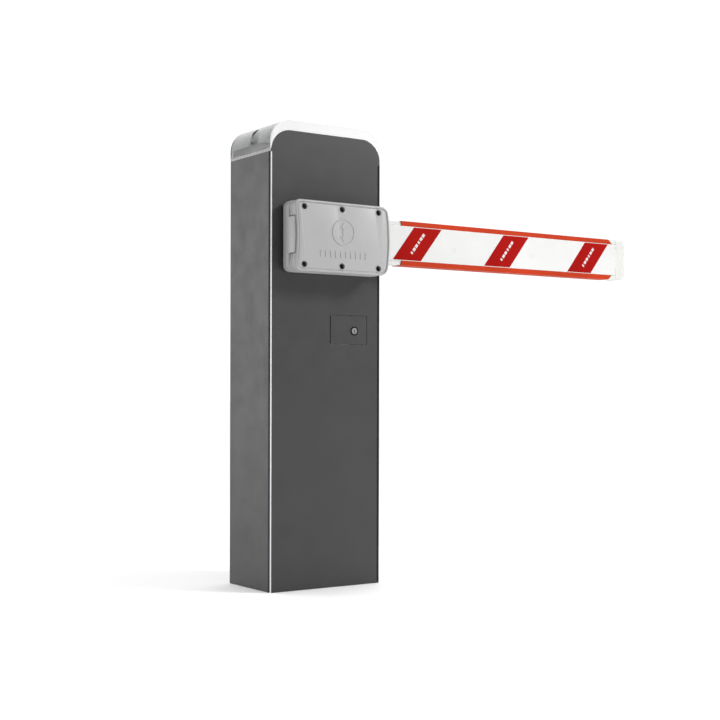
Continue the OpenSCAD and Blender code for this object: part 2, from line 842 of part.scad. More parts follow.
module clamp_rear_shell() {
    color("silver") difference() {
        union() {
            plate_y(clamp_split, clamp_y0) clamp_outline(0, 0);
            // Tab that closes the recess in the cover's left side
            box([-clamp_left, clamp_split - tab_reach, tab_z - tab_half],
                [-clamp_left + 6, clamp_split + 1, tab_z + tab_half]);
        }
        // Pocket for the boom, open to the right
        box([-106, clamp_split - eps, axis_z - boom_h / 2 - 0.5],
            [clamp_right + 10, boom_y1 + 0.3, axis_z + boom_h / 2 + 0.5]);
        rod_y(0, axis_z, disc_r + 0.3, clamp_y0 - 5, clamp_y0 + eps);
        for (a = [45 : 90 : 315]) rod_y(38 * cos(a), axis_z + 38 * sin(a), 4, clamp_y0 - 11, clamp_y0);
        for (i = [-1 : 1], s = [-1, 1])
            rod_y(screw_x + i * screw_pitch, axis_z + s * screw_rows / 2, 4, clamp_split - eps, clamp_y0 - 6);
    }
}

module clamp_cover() {
    color("silver") difference() {
        plate_y(clamp_y1, clamp_split - 0.05) clamp_outline(0, 5);
        box([-106, boom_y0 - 0.3, axis_z - boom_h / 2 - 0.5],
            [clamp_right + 10, clamp_split + eps, axis_z + boom_h / 2 + 0.5]);
        // Shallow field inside the rim
        plate_y(clamp_y1 - eps, clamp_y1 + 1.2) clamp_outline(5, 5);
        // Recess in the left side for the rear shell's tab
        box([-clamp_left - 5, clamp_split - tab_reach - 1.5, tab_z - tab_half - slit],
            [-clamp_left + 7, clamp_split + eps, tab_z + tab_half + slit]);
        for (i = [-1 : 1], s = [-1, 1]) translate([screw_x + i * screw_pitch, 0, s * screw_rows / 2]) {
            rod_y(0, axis_z, 4.5, clamp_y1 - eps, clamp_split + eps);
            rod_y(0, axis_z, 7, clamp_y1 - eps, clamp_y1 + screw_sink);
        }
    }
}

module clamp_screws() {
    color("dimgray") for (i = [-1 : 1], s = [-1, 1])
        translate([screw_x + i * screw_pitch, clamp_y1 + screw_sink, axis_z + s * screw_rows / 2])
        rotate([90, 0, 0]) difference() {
            union() {
                cylinder(r = 6.5, h = 6);
                translate([0, 0, -36]) cylinder(r = 4, h = 36.5);
            }
            translate([0, 0, 3]) cylinder(r = 3.4, h = 4, $fn = 6);
        }
}

// A plain badge: a ring with an up and down arrow, over a row of short ribs
module cover_badge() {
    y1 = clamp_y1 + 1.2;
    y0 = y1 - 1;
    cx = 7;
    cz = axis_z + 13;
    color("silver") plate_y(y0, y1) {
        difference() {
            translate([cx, cz]) circle(32);
            translate([cx, cz]) circle(28.5);
        }
        translate([cx - 2.5, cz - 12]) square([5, 24]);
        for (s = [-1, 1]) polygon([[cx - 10, cz + s * 10], [cx + 10, cz + s * 10], [cx, cz + s * 22]]);
        for (i = [0 : 9]) translate([cx - 65 + 14 * i, cz - 60]) square([5, 15]);
    }
}

// ---------- Boom ----------

// The boom profile's section in Y and Z about its centre, drawn in X and Y
module boom_section(inset) {
    d = boom_d - 2 * inset;
    neck = boom_d - 2 * neck_inset - 2 * inset;
    translate([-d / 2, inset - face_h / 2]) square([d, face_h - 2 * inset]);
    translate([-neck / 2, inset + rubber_t - boom_h / 2]) square([neck, boom_h - 2 * (inset + rubber_t)]);
}

// Extrude a Y and Z section along X
module along_x(x0, x1) {
    translate([x0, (boom_y0 + boom_y1) / 2, axis_z]) rotate([90, 0, 90]) linear_extrude(x1 - x0) children();
}

module beam_profile() {
    web = boom_wall / 2;
    color("white") along_x(-100, boom_len - 33) difference() {
        boom_section(0);
        difference() {
            boom_section(boom_wall);
            translate([-boom_d, -web]) square([2 * boom_d, 2 * web]);
        }
    }
}

// A rubber edge with slanted ends; s is 1 for the upper edge, -1 for the lower
module boom_rubber(s) {
    z_in = face_h / 2;
    z_out = boom_h / 2;
    color("orangered") intersection() {
        along_x(rubber_start - 10, rubber_end + 10) difference() {
            translate([-boom_d / 2, s > 0 ? z_in : -z_out]) square([boom_d, z_out - z_in]);
            translate([neck_inset - boom_d / 2, s > 0 ? z_in - 1 : -z_out + rubber_t])
                square([boom_d - 2 * neck_inset, z_out - z_in + 1 - rubber_t]);
        }
        plate_y(boom_y0 - 1, boom_y1 + 1) translate([0, axis_z]) polygon([
            [rubber_start + 2, s * z_in], [rubber_start - 2, s * z_out],
            [rubber_end - 10, s * z_out], [rubber_end + 2, s * z_in]]);
    }
}

module upper_rubber() {
    boom_rubber(1);
}

module lower_rubber() {
    boom_rubber(-1);
}

module beam_end_cap() {
    color("white") {
        plate_y(boom_y0 - 0.5, boom_y1 + 0.5) {
            round_rect([boom_len - 33, axis_z - boom_h / 2], [boom_len, axis_z + boom_h / 2], 14);
            translate([boom_len - 33, axis_z - boom_h / 2]) square([16, boom_h]);
        }
        // Wedges that close the ends of the rubbers
        difference() {
            for (s = [-1, 1]) plate_y(boom_y0, boom_y1) translate([0, axis_z]) polygon([
                [boom_len - 33, s * (face_h / 2 + 0.1)], [rubber_end + 2.3, s * (face_h / 2 + 0.1)],
                [rubber_end - 9.7, s * boom_h / 2], [boom_len - 33, s * boom_h / 2]]);
            along_x(rubber_end - 20, boom_len - 33) boom_section(-0.05);
        }
    }
}

module reflective_stickers() {
    h = face_h - 3;
    color("firebrick") for (i = [0 : sticker_count - 1], y = [boom_y0 - sticker_t, boom_y1])
        plate_y(y, y + sticker_t) translate([sticker_x0 + i * sticker_pitch, axis_z - h / 2])
            polygon([[0, 0], [sticker_w, 0], [sticker_w + sticker_lean, h], [sticker_lean, h]]);
}

// ---------- Control gear ----------

module control_box() {
    y1 = plate_back + ctl_depth;
    color("lightgray") difference() {
        box([ctl_x0, plate_back, ctl_z0], [ctl_x1, y1, ctl_z1]);
        box([ctl_x0 + 3, plate_back + 3, ctl_z0 + 3], [ctl_x1 - 3, y1 + eps, ctl_z1 - 3]);
        rod_z(36, -46, cable_r + 1, ctl_z1 - 4, ctl_z1 + 1);
    }
    color("black") difference() {
        rod_z(36, -46, 9, ctl_z1, ctl_z1 + 12);
        rod_z(36, -46, cable_r, ctl_z1 - 1, ctl_z1 + 13);
    }
}

module control_box_cover() {
    y1 = plate_back + ctl_depth;
    color("white", 0.4) difference() {
        box([ctl_x0 - 1.5, y1 - 6, ctl_z0 - 1.5], [ctl_x1 + 1.5, y1 + 10, ctl_z1 + 1.5]);
        box([ctl_x0 - eps, y1 - 7, ctl_z0 - eps], [ctl_x1 + eps, y1, ctl_z1 + eps]);
        box([ctl_x0 + 2, y1 - 1, ctl_z0 + 2], [ctl_x1 - 2, y1 + 8, ctl_z1 - 2]);
    }
}

module control_board() {
    y = plate_back + 14;
    color("green") {
        box([ctl_x0 + 12, y, ctl_z0 + 40], [ctl_x1 - 12, y + 1.6, ctl_z1 - 14]);
        for (x = [ctl_x0 + 20, ctl_x1 - 20], z = [ctl_z0 + 48, ctl_z1 - 22])
            rod_y(x, z, 3, plate_back + 3, y);
    }
    color("dimgray") {
        for (i = [0 : 2]) box([ctl_x0 + 26 + 30 * i, y + 1.6, 300], [ctl_x0 + 46 + 30 * i, y + 17, 318]);
        for (i = [0 : 1]) rod_y(ctl_x1 - 40, 260 + 36 * i, 11, y + 1.6, y + 26);
        box([-60, y + 1.6, 230], [-30, y + 5, 260]);
    }
}

module terminal_blocks() {
    y = plate_back + 15.6;
    color("limegreen") for (i = [0 : 4]) difference() {
        box([ctl_x0 + 18 + 28 * i, y, 176], [ctl_x0 + 42 + 28 * i, y + 14, 190]);
        for (j = [0 : 2]) rod_y(ctl_x0 + 22 + 8 * j + 28 * i, 183, 2, y + 8, y + 15);
    }
}

module transformer() {
    x = 108;
    z = 200;
    color("gold") difference() {
        rod_y(x, z, 30, plate_back, plate_back + 38);
        rod_y(x, z, 9, plate_back - 1, plate_back + 39);
    }
    color("dimgray") {
        rod_y(x, z, 4, plate_back, plate_back + 46);
        rod_y(x, z, 20, plate_back + 38, plate_back + 41);
    }
}

base_plate();
chassis_frame();
left_side_panel();
right_side_panel();
rear_frame();
top_plate();
front_panel();
edge_trim();
cap_frame();
cap_lens();
cap_screws();
led_board();
led_lamps();
rear_door();
door_hinges();
door_knuckles();
door_gasket();
door_lock();
door_cam();
release_flap();
flap_hinge();
flap_lock();
release_handle();
release_crank();
release_rod();
declutch_lever();
front_bearing();
rear_bearing();
main_shaft();
shaft_key();
worm_wheel();
gearbox_front_half();
gearbox_rear_half();
gearbox_standoffs();
worm_shaft();
motor_body();
motor_end_cap();
motor_cable();
spring_lever();
chassis_brackets();
stop_bumpers();
spring_hanger();
balance_spring();
tension_rod();
hub_flange();
hub_bolts();
clamp_rear_shell();
clamp_cover();
clamp_screws();
cover_badge();
beam_profile();
upper_rubber();
lower_rubber();
beam_end_cap();
reflective_stickers();
control_box();
control_box_cover();
control_board();
terminal_blocks();
transformer();
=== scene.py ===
"""Looks of a parking barrier gate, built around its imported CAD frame. Lengths are in metres."""
import json
import math

import bmesh
import bpy
from mathutils import Matrix, Vector


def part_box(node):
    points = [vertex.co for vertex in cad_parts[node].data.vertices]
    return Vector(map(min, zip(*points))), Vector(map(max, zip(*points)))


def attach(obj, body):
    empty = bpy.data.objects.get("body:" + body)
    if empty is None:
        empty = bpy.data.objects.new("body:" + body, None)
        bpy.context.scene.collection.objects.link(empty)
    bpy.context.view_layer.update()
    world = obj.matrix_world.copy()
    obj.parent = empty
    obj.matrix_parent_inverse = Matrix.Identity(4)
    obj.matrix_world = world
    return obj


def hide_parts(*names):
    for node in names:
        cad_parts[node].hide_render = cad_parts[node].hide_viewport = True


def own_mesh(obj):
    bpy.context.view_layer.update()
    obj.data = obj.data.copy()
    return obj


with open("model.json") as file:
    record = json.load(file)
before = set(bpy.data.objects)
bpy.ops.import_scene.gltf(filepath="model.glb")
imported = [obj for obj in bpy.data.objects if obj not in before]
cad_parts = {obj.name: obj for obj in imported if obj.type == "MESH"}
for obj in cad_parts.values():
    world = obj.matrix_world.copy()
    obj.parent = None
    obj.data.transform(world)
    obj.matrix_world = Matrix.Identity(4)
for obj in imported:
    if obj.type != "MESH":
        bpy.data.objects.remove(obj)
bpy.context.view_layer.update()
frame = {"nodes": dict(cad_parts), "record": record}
nodes = frame["nodes"]
record = frame["record"]
scene = bpy.context.scene
MM = 0.001


# ---------- Camera ----------

EYE = (-1.7405, -2.7770, 0.4701)
EYE_TURN = -0.600969
EYE_ROLL = 0.002438
LENS = 67.19
SHIFT_Y = 0.0417


def make_camera():
    cam = bpy.data.cameras.new("camera")
    cam.sensor_width = 36
    cam.lens = LENS
    cam.shift_y = SHIFT_Y
    cam.clip_end = 100
    obj = bpy.data.objects.new("camera", cam)
    scene.collection.objects.link(obj)
    turn = Matrix.Rotation(EYE_TURN, 4, "Z") @ Matrix.Rotation(math.pi / 2, 4, "X")
    obj.matrix_world = Matrix.Translation(EYE) @ turn @ Matrix.Rotation(EYE_ROLL, 4, "Z")
    scene.camera = obj


# ---------- Materials ----------

class Look:
    """A Principled material with helpers for its procedural inputs."""

    def __init__(self, name, color, rough=0.5, metal=0.0, **sockets):
        self.mat = bpy.data.materials.new(name)
        self.mat.use_nodes = True
        self.tree = self.mat.node_tree
        self.bsdf = self.tree.nodes["Principled BSDF"]
        self.color = color
        self.rough = rough
        self.bsdf.inputs["Base Color"].default_value = (*color, 1)
        self.bsdf.inputs["Roughness"].default_value = rough
        self.bsdf.inputs["Metallic"].default_value = metal
        for key, value in sockets.items():
            self.bsdf.inputs[key.replace("_", " ")].default_value = value
        self.coords = self.tree.nodes.new("ShaderNodeTexCoord").outputs["Object"]

    def node(self, kind, **values):
        made = self.tree.nodes.new("ShaderNode" + kind)
        for key, value in values.items():
            setattr(made, key, value)
        return made

    def link(self, a, b):
        self.tree.links.new(a, b)

    def stretched(self, scale):
        mapping = self.node("Mapping")
        mapping.inputs["Scale"].default_value = scale
        self.link(self.coords, mapping.inputs["Vector"])
        return mapping.outputs["Vector"]

    def noise(self, scale, detail=3, vector=None):
        made = self.node("TexNoise")
        made.inputs["Scale"].default_value = scale
        made.inputs["Detail"].default_value = detail
        self.link(vector or self.coords, made.inputs["Vector"])
        return made.outputs["Fac"]

    def ranged(self, value, low, high, a=0.3, b=0.7):
        made = self.node("MapRange")
        for key, number in (("From Min", a), ("From Max", b), ("To Min", low), ("To Max", high)):
            made.inputs[key].default_value = number
        self.link(value, made.inputs["Value"])
        return made.outputs["Result"]

    def mixed(self, factor, a, b):
        made = self.node("Mix", data_type="RGBA")
        self.link(factor, made.inputs[0])
        for index, value in ((6, a), (7, b)):
            if isinstance(value, (tuple, list)):
                made.inputs[index].default_value = (*value[:3], 1)
            else:
                self.link(value, made.inputs[index])
        return made.outputs[2]

    def tint(self, amount, scale, detail=3, vector=None):
        """Colour that drifts between a darker and a lighter shade."""
        fac = self.ranged(self.noise(scale, detail, vector), 0, 1)
        dark = [c * (1 - amount) for c in self.color]
        light = [min(1, c * (1 + amount)) for c in self.color]
        out = self.mixed(fac, dark, light)
        self.link(out, self.bsdf.inputs["Base Color"])
        return out

    def wear(self, amount, scale, detail=3, vector=None):
        """Roughness that drifts around its middle value."""
        low, high = max(0.02, self.rough - amount), min(1, self.rough + amount)
        drift = self.ranged(self.noise(scale, detail, vector), low, high)
        self.link(drift, self.bsdf.inputs["Roughness"])

    def bump(self, height, strength, distance):
        made = self.node("Bump")
        made.inputs["Strength"].default_value = strength
        made.inputs["Distance"].default_value = distance
        self.link(height, made.inputs["Height"])
        self.link(made.outputs["Normal"], self.bsdf.inputs["Normal"])


def coated(name, color, rough, grain, strength, distance, tint=0.06, **sockets):
    """Paint, moulded plastic or rubber: fine grain, slow drift of colour and gloss."""
    look = Look(name, color, rough, **sockets)
    look.tint(tint, 9, 5)
    look.wear(0.06, 23, 4)
    look.bump(look.noise(grain, 2), strength, distance)
    return look


def machined(name, color, rough, stretch, tint=0.10):
    """Metal with fine lines along one way."""
    look = Look(name, color, rough, 1.0)
    lines = look.stretched(stretch)
    look.tint(tint, 12, 6, lines)
    look.wear(0.08, 30, 5, lines)
    look.bump(look.noise(60, 4, lines), 0.25, 0.00008)
    return look


def spangled(name, color, rough):
    """Zinc plate: faint crystals and stains."""
    look = Look(name, color, rough, 1.0)
    cells = look.node("TexVoronoi")
    cells.inputs["Scale"].default_value = 90
    look.link(look.coords, cells.inputs["Vector"])
    grey = look.node("RGBToBW")
    look.link(cells.outputs["Color"], grey.inputs["Color"])
    dark = [c * 0.86 for c in color]
    light = [min(1, c * 1.08) for c in color]
    stain = look.mixed(look.ranged(look.noise(7, 5), 0, 1), dark, light)
    crystals = look.ranged(grey.outputs["Val"], 0, 0.35, 0, 1)
    out = look.mixed(crystals, stain, [c * 0.8 for c in color])
    look.link(out, look.bsdf.inputs["Base Color"])
    look.wear(0.10, 60, 3)
    look.bump(look.noise(300, 2), 0.1, 0.0001)
    return look


def film():
    """Red reflective film: small cells with darker seams between them."""
    look = Look("red_film", (0.34, 0.004, 0.003), 0.6, Specular_IOR_Level=0.05)
    cells = look.node("TexVoronoi", feature="DISTANCE_TO_EDGE")
    cells.inputs["Scale"].default_value = 330
    look.link(look.coords, cells.inputs["Vector"])
    seams = look.ranged(cells.outputs["Distance"], 1, 0, 0.02, 0.12)
    drift = look.mixed(look.ranged(look.noise(6, 3), 0, 1),
                       (0.25, 0.003, 0.002), (0.33, 0.005, 0.003))
    out = look.mixed(look.ranged(seams, 0, 0.22, 0, 1), drift, (0.10, 0.002, 0.002))
    look.link(out, look.bsdf.inputs["Base Color"])
    look.wear(0.05, 40)
    look.bump(seams, 0.15, 0.00005)
    return look


def clear(name, color, rough):
    """Clear moulded plastic with a faint frost."""
    look = Look(name, color, rough, Transmission_Weight=1, IOR=1.5)
    look.tint(0.03, 14, 3)
    look.wear(0.05, 60, 4)
    look.bump(look.noise(500, 2), 0.06, 0.0001)
    return look


# Where the cap's frosted front band ends, and where the flange along its foot ends
BAND_Y = (-0.0925, -0.0900)
FLANGE_Z = (1.0300, 1.0315)


def cap_plastic():
    """The cap: smoke-clear dome, frosted white front band, and a ribbed flange along its foot."""
    look = Look("cap_plastic", (0.74, 0.75, 0.75), 0.14, IOR=1.5)
    split = look.node("SeparateXYZ")
    look.link(look.coords, split.inputs["Vector"])
    front = look.ranged(split.outputs["Y"], 1, 0, *BAND_Y)
    foot = look.ranged(split.outputs["Z"], 1, 0, *FLANGE_Z)
    white = look.node("Math", operation="MAXIMUM")
    look.link(front, white.inputs[0])
    look.link(foot, white.inputs[1])
    wave = look.node("TexWave", bands_direction="DIAGONAL")
    wave.inputs["Scale"].default_value = 42
    look.link(look.coords, wave.inputs["Vector"])
    ribs = look.node("Math", operation="MULTIPLY")
    look.link(foot, ribs.inputs[0])
    look.link(wave.outputs["Fac"], ribs.inputs[1])
    smoke = look.mixed(look.ranged(look.noise(14, 3), 0, 1),
                       (0.40, 0.41, 0.41), (0.52, 0.53, 0.53))
    flange = look.mixed(ribs.outputs["Value"], (0.50, 0.50, 0.50), (0.30, 0.30, 0.30))
    pale = look.mixed(front, flange, (0.86, 0.86, 0.86))
    look.link(look.mixed(white.outputs["Value"], smoke, pale), look.bsdf.inputs["Base Color"])
    clearness = look.ranged(white.outputs["Value"], 1.0, 0.25, 0, 1)
    look.link(clearness, look.bsdf.inputs["Transmission Weight"])
    frost = look.ranged(white.outputs["Value"], 0.12, 0.42, 0, 1)
    look.link(frost, look.bsdf.inputs["Roughness"])
    look.bump(look.noise(500, 2), 0.06, 0.0001)
    return look


def board(name, color):
    """Printed circuit board: solder mask with copper tracks under it."""
    look = Look(name, color, 0.3, Coat_Weight=0.4)
    lines = look.node("TexBrick")
    lines.inputs["Scale"].default_value = 70
    lines.inputs["Mortar Size"].default_value = 0.03
    lines.inputs["Color1"].default_value = (*color, 1)
    lines.inputs["Color2"].default_value = (*[c * 0.75 for c in color], 1)
    lines.inputs["Mortar"].default_value = (*[min(1, c * 1.8 + 0.02) for c in color], 1)
    swap = look.node("Mapping")
    swap.inputs["Rotation"].default_value = (math.pi / 2, 0, 0)
    look.link(look.coords, swap.inputs["Vector"])
    look.link(swap.outputs["Vector"], lines.inputs["Vector"])
    look.link(lines.outputs["Color"], look.bsdf.inputs["Base Color"])
    look.wear(0.08, 50)
    look.bump(lines.outputs["Fac"], 0.2, 0.0001)
    return look


def winding():
    """Enamelled copper wire wound in close turns."""
    look = Look("copper_winding", (0.50, 0.27, 0.09), 0.42, 0.4)
    wave = look.node("TexWave", bands_direction="DIAGONAL")
    wave.inputs["Scale"].default_value = 180
    wave.inputs["Distortion"].default_value = 1.5
    look.link(look.coords, wave.inputs["Vector"])
    out = look.mixed(wave.outputs["Fac"], (0.30, 0.14, 0.04), (0.62, 0.36, 0.13))
    look.link(out, look.bsdf.inputs["Base Color"])
    look.wear(0.08, 40)
    look.bump(wave.outputs["Fac"], 0.5, 0.0003)
    return look


def lock_face():
    """Lock cylinder: bright core inside a dark collar."""
    look = machined("lock_face", (0.42, 0.42, 0.42), 0.3, (1, 1, 1), 0.05)
    lo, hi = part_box("flap_lock")
    radius = (hi.x - lo.x) / 2
    flat = look.node("Mapping")
    flat.inputs["Scale"].default_value = (1, 0, 1)
    look.link(look.coords, flat.inputs["Vector"])
    away = look.node("VectorMath", operation="DISTANCE")
    look.link(flat.outputs["Vector"], away.inputs[0])
    away.inputs[1].default_value = ((lo.x + hi.x) / 2, 0, hi.z - radius)
    collar = look.ranged(away.outputs["Value"], 0, 1, 7.2 * MM, 7.8 * MM)
    core = look.mixed(look.ranged(look.noise(300, 3), 0, 1),
                      (0.36, 0.36, 0.36), (0.52, 0.52, 0.52))
    look.link(look.mixed(collar, core, (0.012, 0.012, 0.012)), look.bsdf.inputs["Base Color"])
    return look


def make_looks():
    return {
        "zinc_steel": spangled("zinc_steel", (0.60, 0.61, 0.60), 0.34),
        "cabinet_paint": coated("cabinet_paint", (0.038, 0.038, 0.039), 0.43, 1400, 0.35, 0.0002,
                                0.07, Specular_IOR_Level=0.42),
        "grey_plastic": coated("grey_plastic", (0.56, 0.56, 0.55), 0.48, 900, 0.2, 0.0002, 0.04),
        "clear_plastic": clear("clear_plastic", (0.90, 0.92, 0.92), 0.16),
        "cap_plastic": cap_plastic(),
        "dark_screw": machined("dark_screw", (0.05, 0.05, 0.052), 0.38, (1, 1, 1), 0.2),
        "white_board": board("white_board", (0.72, 0.72, 0.70)),
        "amber_lens": coated("amber_lens", (0.75, 0.34, 0.03), 0.18, 300, 0.05, 0.0001, 0.05,
                             Transmission_Weight=0.35, Coat_Weight=0.6),
        # Left edge trim: its real bevel is coated near-white, a painted highlight in place of the
        # light's reflection
        "painted_edge_highlight": coated("painted_edge_highlight", (0.88, 0.88, 0.88), 0.3, 1200, 0.1, 0.0001, 0.03),
        # Near-black matt strip: the painted shade along the front panel's right edge
        "shade_strip_black": coated("shade_strip_black", (0.012, 0.012, 0.012), 0.8, 700, 0.2, 0.0002, 0.2,
                             Specular_IOR_Level=0.2),
        "black_rubber": coated("black_rubber", (0.022, 0.022, 0.022), 0.66, 700, 0.3, 0.0003, 0.2),
        "lock_face": lock_face(),
        "lock_chrome": machined("lock_chrome", (0.42, 0.42, 0.42), 0.24, (1, 1, 1), 0.05),
        "red_plastic": coated("red_plastic", (0.50, 0.022, 0.014), 0.34, 600, 0.12, 0.0002),
        "bearing_iron": coated("bearing_iron", (0.20, 0.205, 0.21), 0.58, 420, 0.55, 0.0006, 0.14,
                               metal=0.6),
        "bearing_steel": machined("bearing_steel", (0.52, 0.52, 0.53), 0.26, (1, 9, 1)),
        "gear_bronze": machined("gear_bronze", (0.60, 0.41, 0.17), 0.3, (3, 3, 3)),
        "cast_aluminium": coated("cast_aluminium", (0.50, 0.51, 0.52), 0.46, 520, 0.4, 0.0004, 0.09,
                                 metal=0.9),
        "motor_paint": coated("motor_paint", (0.035, 0.042, 0.06), 0.38, 600, 0.2, 0.0003),
        "black_plastic": coated("black_plastic", (0.022, 0.022, 0.023), 0.42, 900, 0.2, 0.0002,
                                0.12),
        "spring_steel": machined("spring_steel", (0.15, 0.15, 0.16), 0.36, (1, 1, 1), 0.2),
        "clamp_paint": coated("clamp_paint", (0.335, 0.335, 0.337), 0.44, 1200, 0.22, 0.0002, 0.03),
        "beam_paint": coated("beam_paint", (0.575, 0.575, 0.567), 0.32, 260, 0.05, 0.0001, 0.02),
        "orange_rubber": coated("orange_rubber", (0.38, 0.030, 0.006), 0.55, 800, 0.15, 0.0002, 0.10,
                                Specular_IOR_Level=0.12),
        "white_plastic": coated("white_plastic", (0.545, 0.55, 0.53), 0.36, 700, 0.12, 0.0002, 0.02),
        "print_white": coated("print_white", (0.55, 0.52, 0.52), 0.5, 900, 0.05, 0.0001, 0.03),
        "red_film": film(),
        "green_board": board("green_board", (0.018, 0.13, 0.05)),
        "green_plastic": coated("green_plastic", (0.06, 0.32, 0.09), 0.4, 800, 0.15, 0.0002),
        "copper_winding": winding(),
    }


# ---------- Mesh helpers ----------

def finish_piece(mesh_or_bm, name, look, body, replaced=(), smooth=40):
    """Makes the piece's object, with its look, body, slot and the CAD nodes it stands for."""
    if isinstance(mesh_or_bm, bmesh.types.BMesh):
        mesh = bpy.data.meshes.new(name)
        bmesh.ops.recalc_face_normals(mesh_or_bm, faces=mesh_or_bm.faces)
        mesh_or_bm.to_mesh(mesh)
        mesh_or_bm.free()
    else:
        mesh = mesh_or_bm
    obj = bpy.data.objects.new(name, mesh)
    scene.collection.objects.link(obj)
    mesh.materials.clear()
    mesh.materials.append(looks[look].mat)
    if smooth:
        mesh.shade_smooth()
        mesh.set_sharp_from_angle(angle=math.radians(smooth))
    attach(obj, body)
    if replaced:
        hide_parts(*replaced)
    return obj


def loft(bm, rings, close=True):
    """Quads between rings of points with the same count; the end rings are filled."""
    made = [[bm.verts.new(p) for p in ring] for ring in rings]
    count = len(made[0])
    for a, b in zip(made, made[1:]):
        for i in range(count):
            j = (i + 1) % count
            bm.faces.new((a[i], a[j], b[j], b[i]))
    if close:
        bm.faces.new(made[0])
        bm.faces.new(made[-1])
    return made


def lathe(bm, profile, steps, matrix):
    """Turn (radius, height) points about Z, closed at both ends."""
    turns = [2 * math.pi * i / steps for i in range(steps)]
    loft(bm, [[matrix @ Vector((r * math.cos(t), r * math.sin(t), h)) for t in turns]
              for r, h in profile])


def closed_ring(bm, rings):
    """Quads between rings of points, with the last ring joined to the first."""
    made = loft(bm, rings, close=False)
    count = len(rings[0])
    for i in range(count):
        j = (i + 1) % count
        bm.faces.new((made[-1][i], made[-1][j], made[0][j], made[0][i]))


def block(bm, lo, hi, edge=0.0, segments=2):
    """A box from two corners with rounded edges."""
    lo, hi = Vector(lo), Vector(hi)
    made = bmesh.ops.create_cube(bm, size=1)["verts"]
    for v in made:
        v.co = Vector([lo[k] + (v.co[k] + 0.5) * (hi[k] - lo[k]) for k in range(3)])
    if edge:
        edges = list({e for v in made for e in v.link_edges})
        bmesh.ops.bevel(bm, geom=edges, offset=edge, segments=segments, affect="EDGES", profile=0.5)


def toward_y(x, z, y, sign=-1):
    """Places a Z-turned shape so that its height runs along Y (by sign) from a point."""
    return Matrix.Translation((x, y, z)) @ Matrix.Rotation(-sign * math.pi / 2, 4, "X")


def cut(target, cutters, operation="DIFFERENCE"):
    """Applies exact booleans, then removes the cutters."""
    for cutter in cutters:
        mod = target.modifiers.new("cut", "BOOLEAN")
        mod.object = cutter
        mod.operation = operation
        mod.solver = "EXACT"
    bpy.context.view_layer.update()
    done = target.evaluated_get(bpy.context.evaluated_depsgraph_get())
    result = bpy.data.meshes.new_from_object(done)
    target.modifiers.clear()
    target.data = result
    for cutter in cutters:
        bpy.data.objects.remove(cutter)


def raw(bm, name="cutter"):
    """An object that only takes part in a boolean."""
    mesh = bpy.data.meshes.new(name)
    bmesh.ops.recalc_face_normals(bm, faces=bm.faces)
    bm.to_mesh(mesh)
    bm.free()
    obj = bpy.data.objects.new(name, mesh)
    scene.collection.objects.link(obj)
    return obj


# ---------- CAD nodes that stay ----------

# Width of a node's rounded edges in millimetres, where it isn't the usual one
USUAL_EDGE = 0.3
EDGE = {
    "front_panel": 0.5, "release_flap": 0.4, "rear_door": 0.8, "cap_lens": 0.9,
    "beam_profile": 1.4, "cover_badge": 0.35, "gearbox_front_half": 1.2,
    "gearbox_rear_half": 1.2, "control_box": 1.0, "control_box_cover": 1.0, "edge_trim": 0.15,
    "reflective_stickers": 0.1, "door_gasket": 1.2, "cap_frame": 0.8, "front_bearing": 1.0,
    "hub_flange": 0.8, "base_plate": 0.8,
}
# Nodes that keep their edges: gear teeth, the cable and the hidden spring
NO_EDGE = {"worm_shaft", "worm_wheel", "motor_cable", "balance_spring"}
# Nodes with a look of their own in place of their slot's; the edge trim's look is a painted
# highlight
OWN_LOOK = {"cap_lens": "cap_plastic", "edge_trim": "painted_edge_highlight", "flap_lock": "lock_face"}


def dress_nodes():
    """Gives each CAD node its material, and fine rounded edges where it has sharp ones."""
    for part in record["subparts"]:
        name = part["node"]
        obj = nodes[name]
        obj.data.materials.clear()
        obj.data.materials.append(looks[OWN_LOOK.get(name, part["material_slot"])].mat)
        if name in NO_EDGE:
            continue
        weld = obj.modifiers.new("weld", "WELD")
        weld.merge_threshold = 0.00001
        flat = obj.modifiers.new("flat", "DECIMATE")
        flat.decimate_type = "DISSOLVE"
        flat.angle_limit = math.radians(0.4)
        bevel = obj.modifiers.new("bevel", "BEVEL")
        bevel.width = EDGE.get(name, USUAL_EDGE) * MM
        bevel.segments = 2
        bevel.limit_method = "ANGLE"
        bevel.angle_limit = math.radians(40)
        bevel.use_clamp_overlap = True
        bevel.harden_normals = False
        smooth = obj.modifiers.new("normals", "WEIGHTED_NORMAL")
        smooth.keep_sharp = True


# ---------- Boom clamp ----------

AXIS_Z = 0.826
CLAMP_LEFT, CLAMP_RIGHT = -0.127, 0.141
LEFT_CORNER, RIGHT_CORNER = 15 * MM, 22 * MM
# The right side bulges on one radius, and the cover's left side is hollow on another
BULGE_R, HOLLOW_R = 0.460, 0.470
COVER_BOW = 5 * MM
SCREW_X, SCREW_PITCH, SCREW_RISE = 0.003, 0.104, 0.0665
# Screw recess: radius, chamfer's outer radius, depth, and the sunk face it starts from
RECESS_R, RECESS_MOUTH_R, RECESS_DEEP = 7.0 * MM, 7.9 * MM, 12 * MM
RECESS_FROM = 1.1 * MM
# The boom's pocket, cut into each half from beyond their joint, with a little air at its faces
POCKET_LEFT, POCKET_RIGHT, POCKET_HALF = -0.106, 0.16, 0.0545
POCKET_FROM_COVER, POCKET_FROM_SHELL, POCKET_AIR = -0.130, -0.140, 0.2 * MM
# The hub's bore in the shell's back
BORE_R, SHELL_BACK = 0.0483, -0.104
# The tab on the rear shell that reaches into a slot in the cover's left side
TAB_Z = AXIS_Z + 1.3 * MM
TAB_HALF, TAB_DEEP = 42 * MM, 6 * MM
TAB_FRONT, TAB_BACK = -0.1555, -0.126
SLOT_HALF = TAB_HALF + 2.4 * MM
SLOT_LEFT, SLOT_RIGHT = -0.134, -0.120
SLOT_FRONT, SLOT_BACK = -0.157, -0.131


